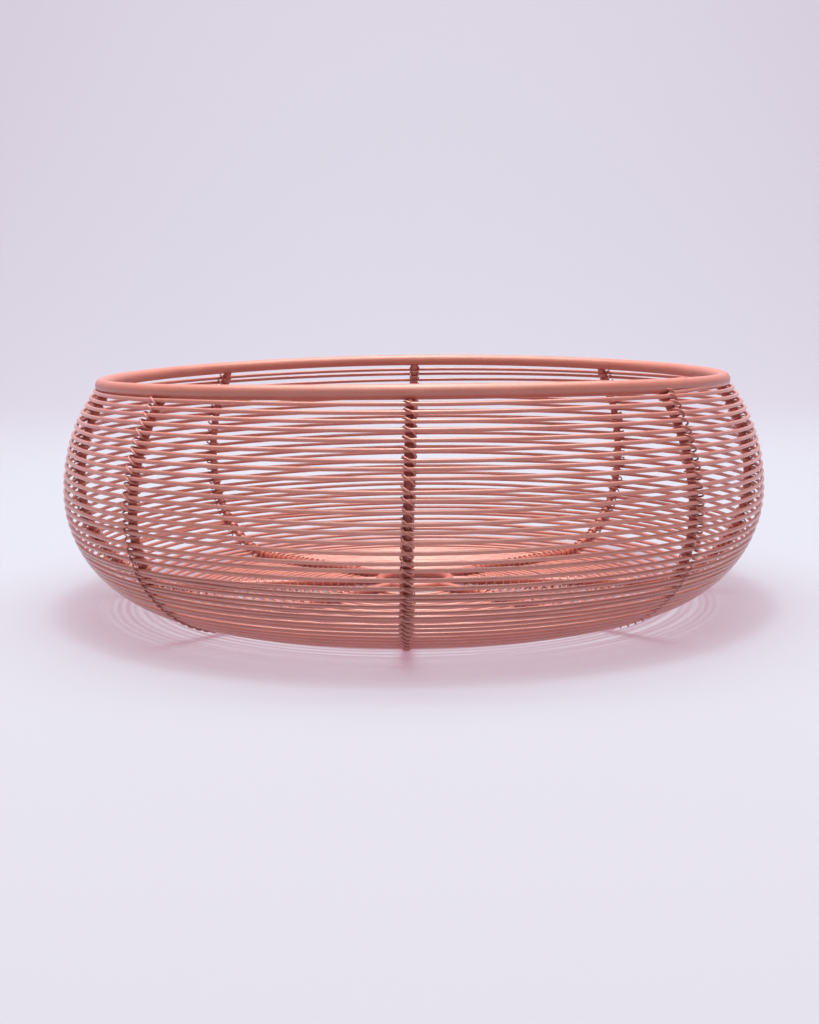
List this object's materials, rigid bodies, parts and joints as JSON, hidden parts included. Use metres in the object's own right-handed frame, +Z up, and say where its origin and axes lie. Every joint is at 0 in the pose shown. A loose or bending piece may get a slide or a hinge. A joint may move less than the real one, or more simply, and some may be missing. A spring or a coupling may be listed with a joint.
{
  "type": "wire produce basket",
  "caption": "Round open-top wire basket with a heavy rim, ribs that bulge and turn under to a small hub, and closely spaced round wires bound to the ribs.",
  "frame": {"origin": "middle of the base, on the surface that the basket stands on", "axes": "+Z up through the open top; -Y towards the front rib; +X towards the right rib"},
  "size_m": [0.3508, 0.3508, 0.1171],
  "materials": {
    "rim_bar": "satin coral-pink powder coat",
    "rib_bar": "satin coral-pink powder coat",
    "round_wire": "satin coral-pink powder coat",
    "binding_wire": "satin coral-pink powder coat"
  },
  "bodies": {
    "root": {"rim_ring": "rim_bar", "hub_ring": "rib_bar", "rib_right": "rib_bar", "rib_back_right": "rib_bar", "rib_back": "rib_bar", "rib_back_left": "rib_bar", "rib_left": "rib_bar", "rib_front_left": "rib_bar", "rib_front": "rib_bar", "rib_front_right": "rib_bar", "side_wire_01": "round_wire", "side_wire_02": "round_wire", "side_wire_03": "round_wire", "side_wire_04": "round_wire", "side_wire_05": "round_wire", "side_wire_06": "round_wire", "side_wire_07": "round_wire", "side_wire_08": "round_wire", "side_wire_09": "round_wire", "side_wire_10": "round_wire", "side_wire_11": "round_wire", "side_wire_12": "round_wire", "side_wire_13": "round_wire", "side_wire_14": "round_wire", "side_wire_15": "round_wire", "side_wire_16": "round_wire", "side_wire_17": "round_wire", "side_wire_18": "round_wire", "side_wire_19": "round_wire", "side_wire_20": "round_wire", "side_wire_21": "round_wire", "side_wire_22": "round_wire", "side_wire_23": "round_wire", "side_wire_24": "round_wire", "side_wire_25": "round_wire", "side_wire_26": "round_wire", "side_wire_27": "round_wire", "side_wire_28": "round_wire", "base_wires_01": "round_wire", "base_wires_02": "round_wire", "base_wires_03": "round_wire", "base_wires_04": "round_wire", "base_wires_05": "round_wire", "base_wires_06": "round_wire", "base_wires_07": "round_wire", "base_wires_08": "round_wire", "lashing_right": "binding_wire", "lashing_back_right": "binding_wire", "lashing_back": "binding_wire", "lashing_back_left": "binding_wire", "lashing_left": "binding_wire", "lashing_front_left": "binding_wire", "lashing_front": "binding_wire", "lashing_front_right": "binding_wire"}
  },
  "joints": []
}
